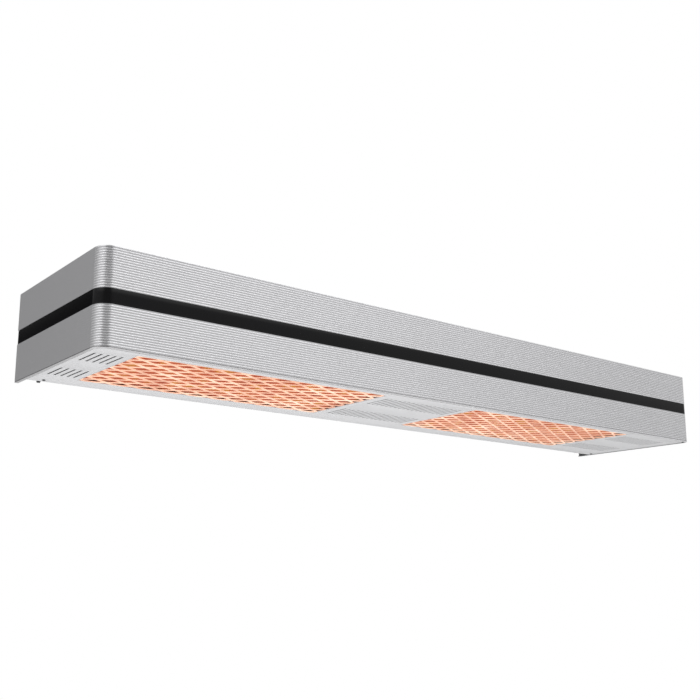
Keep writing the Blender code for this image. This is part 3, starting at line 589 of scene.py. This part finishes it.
def plate(outlines, low, high, edge, plane="XY", steps=1):
    """A flat plate with rounded edges: the first outline is its edge and any others are holes."""
    curve = bpy.data.curves.new("plate", "CURVE")
    curve.dimensions = "2D"
    curve.fill_mode = "BOTH"
    curve.extrude = (high - low) / 2 - edge
    curve.bevel_depth = edge
    curve.bevel_resolution = steps
    curve.offset = -edge
    for outline in outlines:
        spline = curve.splines.new("POLY")
        spline.points.add(len(outline) - 1)
        for point, (u, v) in zip(spline.points, outline):
            point.co = (u, v, 0, 1)
        spline.use_cyclic_u = True
    guide = bpy.data.objects.new("plate", curve)
    bpy.context.scene.collection.objects.link(guide)
    bpy.context.view_layer.update()
    mesh = bpy.data.meshes.new_from_object(guide.evaluated_get(bpy.context.evaluated_depsgraph_get()))
    bpy.data.objects.remove(guide)
    turn = {
        "XY": Matrix.Translation((0, 0, (low + high) / 2)),
        "XZ": Matrix.Translation((0, (low + high) / 2, 0)) @ Matrix.Rotation(math.pi / 2, 4, "X"),
    }[plane]
    mesh.transform(turn)
    shape = bmesh.new()
    shape.from_mesh(mesh)
    bmesh.ops.remove_doubles(shape, verts=shape.verts, dist=TINY)
    shape.to_mesh(mesh)
    shape.free()
    return mesh


def join(*meshes):
    shape = bmesh.new()
    for mesh in meshes:
        shape.from_mesh(mesh)
    return freeze(shape, "joined")


def rectangle(centre, size):
    (u, v), (w, h) = centre, size
    return [(u + a * w / 2, v + b * h / 2) for a, b in ((-1, -1), (1, -1), (1, 1), (-1, 1))]


def rounded(centre, size, radius, steps):
    """A rectangle with round corners; at half the width it becomes a slot with round ends."""
    (u, v), (w, h) = centre, size
    points = []
    for a, b, start in ((1, 1, 0), (-1, 1, 90), (-1, -1, 180), (1, -1, 270)):
        x, y = u + a * (w / 2 - radius), v + b * (h / 2 - radius)
        for k in range(steps + 1):
            angle = math.radians(start + 90 * k / steps)
            points.append((x + radius * math.cos(angle), y + radius * math.sin(angle)))
    return points


def window(name):
    low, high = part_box(f"guard_{name}")
    centre = ((low.x + high.x) / 2, (low.y + high.y) / 2)
    return centre, (high.x - low.x + WINDOW_CLEAR, high.y - low.y + WINDOW_CLEAR)


def fascia_edge(inset_side, inset_front, radius):
    """The fascia's edge, which follows the shroud's inner face."""
    side = HALF_L - inset_side
    front = FRONT + inset_front
    points = [(-side, FASCIA_BACK)]
    for sign, start in ((-1, 180), (1, 270)):
        for k in range(FASCIA_CORNER_STEPS + 1):
            angle = math.radians(start + 90 * k / FASCIA_CORNER_STEPS)
            points.append(
                (
                    sign * (side - radius) + radius * math.cos(angle),
                    front + radius + radius * math.sin(angle),
                )
            )
    points.append((side, FASCIA_BACK))
    return points


def make_fascia():
    radius = SLOT_SIZE[0] / 2 * SLOT_END
    slots = [
        rounded((first + k * SLOT_PITCH, row), SLOT_SIZE, radius, SLOT_CORNER_STEPS)
        for first, count in SLOT_GROUPS
        for k in range(count)
        for row in SLOT_ROWS_Y
    ]
    windows = [rounded(*window(name), WINDOW_R, WINDOW_CORNER_STEPS) for name in ZONES]
    edge = fascia_edge(LIP_DEPTH + FASCIA_GAP, LIP_DEPTH + JOINT_W, CORNER_R - LIP_DEPTH)
    mesh = plate([edge, *windows, *slots], FASCIA_Z, FASCIA_Z + SHEET, PANEL_EDGE, steps=2)
    obj = add("fascia_slotted_panel", mesh, FASCIA_PAINT, "fascia", "fascia")
    smooth(obj)
    # The slots' walls get the painted shade.
    walls = [face for face in obj.data.polygons if abs(face.normal.z) < WALL_SLOPE and in_slots(face.center)]
    repaint(obj, SLOT_WALL_SHADE, walls)


def in_slots(place):
    """Whether a point of the panel lies at one of its groups of slots."""
    wide, long = SLOT_SIZE
    across = any(first - wide < place.x < first + count * SLOT_PITCH for first, count in SLOT_GROUPS)
    return across and any(abs(place.y - row) < long for row in SLOT_ROWS_Y)


def strand_route(low, high, centre, row):
    """One zigzag strand of the sheet, as (x, y, tilt) points, with less tilt where it meets the next."""
    long_way, short_way = MESH_PITCH
    middle = centre[1] + (row + 0.5 - MESH_ROWS) * short_way / 2
    swing = short_way / 4 - STRAND_W / 2 * math.cos(STRAND_TILT)
    phase = centre[0] + (row % 2) * long_way / 2
    bound = STRAND_W / 2 + MESH_RIM / 2
    count = round((high[0] - low[0]) / STRAND_STEP)
    points = []
    for k in range(count + 1):
        x = low[0] + (high[0] - low[0]) * k / count
        turn = 2 * math.pi * (x - phase) / long_way
        zigzag = 2 / math.pi * math.asin(math.cos(turn))
        wave = zigzag + (math.cos(turn) - zigzag) * STRAND_ROUND
        flat = abs(wave) ** KNUCKLE_POWER
        y = min(max(middle + swing * wave, low[1] + bound), high[1] - bound)
        points.append((x, y, STRAND_TILT * (1 - KNUCKLE_FLAT * flat)))
    return points


def strand(shape, route, z):
    """Sweeps the strand's flat section, with its edges rounded, along the route."""
    rings = []
    for k, (x, y, tilt) in enumerate(route):
        before, after = route[max(k - 1, 0)], route[min(k + 1, len(route) - 1)]
        slope = math.atan2(after[1] - before[1], after[0] - before[0])
        across = Vector((-math.sin(slope), math.cos(slope), 0))
        wide = (across * math.cos(tilt) + Vector((0, 0, math.sin(tilt)))).normalized()
        thick = wide.cross(Vector((math.cos(slope), math.sin(slope), 0))).normalized()
        ring = []
        for u, v in STRAND_SECTION:
            place = Vector((x, y, z)) + wide * u * STRAND_W / 2 + thick * v * STRAND_T / 2
            ring.append(shape.verts.new(place))
        rings.append(ring)
    loft(shape, rings)


def make_guards():
    """Each guard is an expanded sheet: rows of tilted zigzag strands, which meet at knuckles, and a rim."""
    for name in ZONES:
        low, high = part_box(f"guard_{name}")
        centre = ((low.x + high.x) / 2, (low.y + high.y) / 2)
        shape = bmesh.new()
        middle = (low.z + high.z) / 2 + STRAND_RISE
        for row in range(2 * MESH_ROWS):
            strand(shape, strand_route(low, high, centre, row), middle)
        bmesh.ops.recalc_face_normals(shape, faces=shape.faces)
        strands = freeze(shape, "strands")
        size = (high.x - low.x, high.y - low.y)
        inner = [side - 2 * MESH_RIM for side in size]
        rim = plate([rectangle(centre, size), rectangle(centre, inner)], low.z, low.z + SHEET, PANEL_EDGE)
        mesh = join(strands, rim)
        obj = add(f"guard_expanded_{name}", mesh, GUARD, "fascia", f"guard_{name}")
        repaint(obj, FASCIA_PAINT, obj.data.polygons[len(strands.polygons) :])
        smooth(obj)


def tile_section(low, high):
    """A tile's section, in (y, z): a flat back, and round-bottomed grooves in the glowing face."""
    points = [(high.y, high.z), (low.y, high.z), (low.y, low.z)]
    pitch = (high.y - low.y) / TILE_GROOVES
    for number in range(TILE_GROOVES):
        middle = low.y + (number + 0.5) * pitch
        for k in range(TILE_GROOVE_STEPS + 1):
            angle = math.pi * (1 - k / TILE_GROOVE_STEPS)
            y = middle + TILE_GROOVE_HALF * math.cos(angle)
            points.append((y, low.z + TILE_GROOVE_DEPTH * math.sin(angle)))
    points.append((high.y, low.z))
    return points


def make_tiles():
    """The emitter tiles, with a grooved face over each one's glow."""
    for name in ZONES:
        for number in range(1, TILES_IN_ZONE + 1):
            node = f"emitter_tile_{name}_{number}"
            low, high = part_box(node)
            shape = bmesh.new()
            section = tile_section(low, high)
            loft(shape, [[shape.verts.new((x, y, z)) for y, z in section] for x in (low.x, high.x)])
            bmesh.ops.recalc_face_normals(shape, faces=shape.faces)
            mesh = freeze(shape, "tile")
            smooth(add(f"tile_grooved_{name}_{number}", mesh, TILE, "heater", node))


# ---- Fasteners -----------------------------------------------------------------------------------
def circle(centre, radius):
    (u, v), turn = centre, 2 * math.pi / ROUND_SIDES
    return [(u + radius * math.cos(k * turn), v + radius * math.sin(k * turn)) for k in range(ROUND_SIDES)]


def cross(centre):
    """The outline of a cross-shaped drive recess."""
    (u, v), (a, b) = centre, CROSS_ARM
    quarter = [(b, a), (a, a), (a, b)]
    points = []
    for _ in range(4):
        points += [(u + x, v + y) for x, y in quarter]
        quarter = [(-y, x) for x, y in quarter]
    return points


def screw_heads(name, centres, face, plane):
    """Low pan heads on a face, each with a cross recess sunk to half its height."""
    half = face + HEAD_H / 2
    under = plate([circle(c, HEAD_R) for c in centres], face, half, HEAD_SEAT_EDGE, plane)
    outlines = [outline for c in centres for outline in (circle(c, HEAD_R), cross(c))]
    over = plate(outlines, half, face + HEAD_H, HEAD_EDGE, plane)
    smooth(add(name, join(under, over), SCREW, "heater", None))


def evenly(low, high, count):
    return [low + (high - low) * k / (count - 1) for k in range(count)]


def make_fasteners():
    rows = (COVER_LO.y + COVER_SCREW_INSET, COVER_HI.y - COVER_SCREW_INSET)
    along = [(x, y) for x in evenly(*COVER_SCREWS_X) for y in rows]
    ends = [(side * (COVER_HI.x - COVER_SCREW_INSET), y) for side in (-1, 1) for y in COVER_END_SCREWS_Y]
    screw_heads("cover_screws", along + ends, COVER_HI.z, "XY")
    corners = [(side * (PANEL_HI.x - PANEL_SCREW_INSET), z) for side in (-1, 1) for z in PANEL_END_SCREWS_Z]
    under = [(x, PANEL_LO.z + PANEL_SCREW_RISE) for x in evenly(*PANEL_SCREWS_X)]
    screw_heads("rear_panel_screws", corners + under, PANEL_HI.y, "XZ")
    foot_back = HANGER_LO.y + HANGER_T
    centres = [(x, HANGER_LO.z + RIVET_RISE) for x in evenly(*RIVETS_X)]
    heads = [circle(c, RIVET_R) for c in centres]
    stubs = [circle(c, STUB_R) for c in centres]
    outer = plate(heads, foot_back, foot_back + RIVET_H, RIVET_EDGE, "XZ", 3)
    inner = plate(stubs, foot_back, foot_back + STUB_H, STUB_EDGE, "XZ")
    smooth(add("hanger_rivets", join(outer, inner), STEEL, "heater", None))


# ---- Floor, light and camera ---------------------------------------------------------------------
FLOOR_Z = -1.05
FLOOR_R = 2.9
FLOOR_SIDES = 96
CAMERA_AT = (-0.87244, -1.07431, -0.28011)  # from the wall rail's centre, in lengths of the heater
CAMERA_YAW, CAMERA_PITCH = 38.554, 11.329
CAMERA_LENS = 50.0
CAMERA_SENSOR = 36.0
CAMERA_CLIP = 0.05
CAMERA_SHIFT = 0.0635
UNDER_LIGHT_AT = (-0.35, -0.3)
UNDER_LIGHT_RISE = 0.02  # over the floor
UNDER_LIGHT_SIZE = (2.0, 1.6)
UNDER_LIGHT_POWER = 13
# How much of the overhead brightness shows, by height: 0 is straight down, 0.5 level and 1 straight up.
OVERHEAD_SHARE = ((0.35, 1.0), (0.45, 0.0), (0.72, 0.0), (0.86, 1.0))


def make_camera():
    data = bpy.data.cameras.new("camera")
    data.lens = CAMERA_LENS
    data.sensor_width = CAMERA_SENSOR
    data.shift_y = CAMERA_SHIFT
    data.clip_start = CAMERA_CLIP
    camera = bpy.data.objects.new("camera", data)
    camera.location = Vector(CAMERA_AT) * LENGTH
    camera.rotation_euler = (math.radians(90 + CAMERA_PITCH), 0, math.radians(-CAMERA_YAW))
    bpy.context.scene.collection.objects.link(camera)
    bpy.context.scene.camera = camera


def make_floor():
    shape = bmesh.new()
    bmesh.ops.create_circle(shape, cap_ends=True, segments=FLOOR_SIDES, radius=FLOOR_R)
    floor = bpy.data.objects.new("floor", freeze(shape, "floor"))
    floor.location = (0, 0, FLOOR_Z)
    bpy.context.scene.collection.objects.link(floor)
    material, nodes, links, shader = new_material("floor_pale")
    tone = noise(nodes, links, 1.5, (1, 1, 1), 2.0)
    links.new(ramp(nodes, links, tone, [(0.3, grey(0.80)), (0.7, grey(0.84))]), shader.inputs["Base Color"])
    shader.inputs["Roughness"].default_value = 0.9
    give(floor, material)


def area_light(name, place, aim, size, power):
    data = bpy.data.lights.new(name, "AREA")
    data.shape = "RECTANGLE"
    data.size, data.size_y = size
    data.energy = power
    light = bpy.data.objects.new(name, data)
    light.location = place
    light.rotation_euler = (Vector(aim) - Vector(place)).to_track_quat("-Z", "Y").to_euler()
    light.visible_camera = False
    bpy.context.scene.collection.objects.link(light)
    return light


# The studio's brightness, as (bearing, level with the lens, overhead). Bearing 0 is the room, 90 the right.
STUDIO = (
    (-180, 0.30, 0.50),
    (-156, 0.285, 0.33),
    (-128, 0.36, 0.55),
    (-100, 0.505, 2.00),
    (-70, 0.505, 2.00),
    (-48, 0.25, 0.32),
    (-8, 0.25, 0.32),
    (10, 0.45, 1.95),
    (24, 0.48, 2.08),
    (40, 0.54, 2.10),
    (60, 0.42, 1.52),
    (110, 0.45, 0.85),
    (130, 0.42, 0.62),
    (180, 0.30, 0.50),
)


def make_studio():
    """A soft white world, with light and dark sides for the metal to reflect. The camera sees it as white."""
    world = bpy.data.worlds.new("studio")
    world.use_nodes = True
    bpy.context.scene.world = world
    nodes, links = world.node_tree.nodes, world.node_tree.links
    nodes.clear()
    place = nodes.new("ShaderNodeTexCoord")
    split = nodes.new("ShaderNodeSeparateXYZ")
    links.new(place.outputs["Generated"], split.inputs["Vector"])
    back = nodes.new("ShaderNodeMath")
    back.operation = "MULTIPLY"
    back.inputs[1].default_value = -1
    links.new(split.outputs["Y"], back.inputs[0])
    bearing = nodes.new("ShaderNodeMath")
    bearing.operation = "ARCTAN2"
    links.new(split.outputs["X"], bearing.inputs[0])
    links.new(back.outputs["Value"], bearing.inputs[1])
    turn = spread(nodes, links, bearing.outputs["Value"], 0, 1, (-math.pi, math.pi))
    ring = ramp(nodes, links, turn, [((b + 180) / 360, grey(level)) for b, level, _ in STUDIO])
    above = ramp(nodes, links, turn, [((b + 180) / 360, grey(overhead)) for b, _, overhead in STUDIO])
    height = spread(nodes, links, split.outputs["Z"], 0, 1, (-1, 1))
    upper = ramp(nodes, links, height, [(z, grey(share)) for z, share in OVERHEAD_SHARE])
    mix = nodes.new("ShaderNodeMix")
    mix.data_type = "RGBA"
    links.new(upper, mix.inputs["Factor"])
    links.new(ring, mix.inputs["A"])
    links.new(above, mix.inputs["B"])
    studio = nodes.new("ShaderNodeBackground")
    links.new(mix.outputs["Result"], studio.inputs["Color"])
    white = nodes.new("ShaderNodeBackground")
    white.inputs["Color"].default_value = (1, 1, 1, 1)
    path = nodes.new("ShaderNodeLightPath")
    pick = nodes.new("ShaderNodeMixShader")
    links.new(path.outputs["Is Camera Ray"], pick.inputs["Fac"])
    links.new(studio.outputs["Background"], pick.inputs[1])
    links.new(white.outputs["Background"], pick.inputs[2])
    out = nodes.new("ShaderNodeOutputWorld")
    links.new(pick.outputs["Shader"], out.inputs["Surface"])
    place = (*UNDER_LIGHT_AT, FLOOR_Z + UNDER_LIGHT_RISE)
    under = area_light("under_light", place, (*UNDER_LIGHT_AT, 0), UNDER_LIGHT_SIZE, UNDER_LIGHT_POWER)
    under.visible_glossy = False


bpy.context.scene.view_settings.view_transform = "Standard"
make_camera()
make_floor()
make_studio()
finish_nodes()
make_shroud()
make_band()
make_fascia()
make_guards()
make_tiles()
make_fasteners()
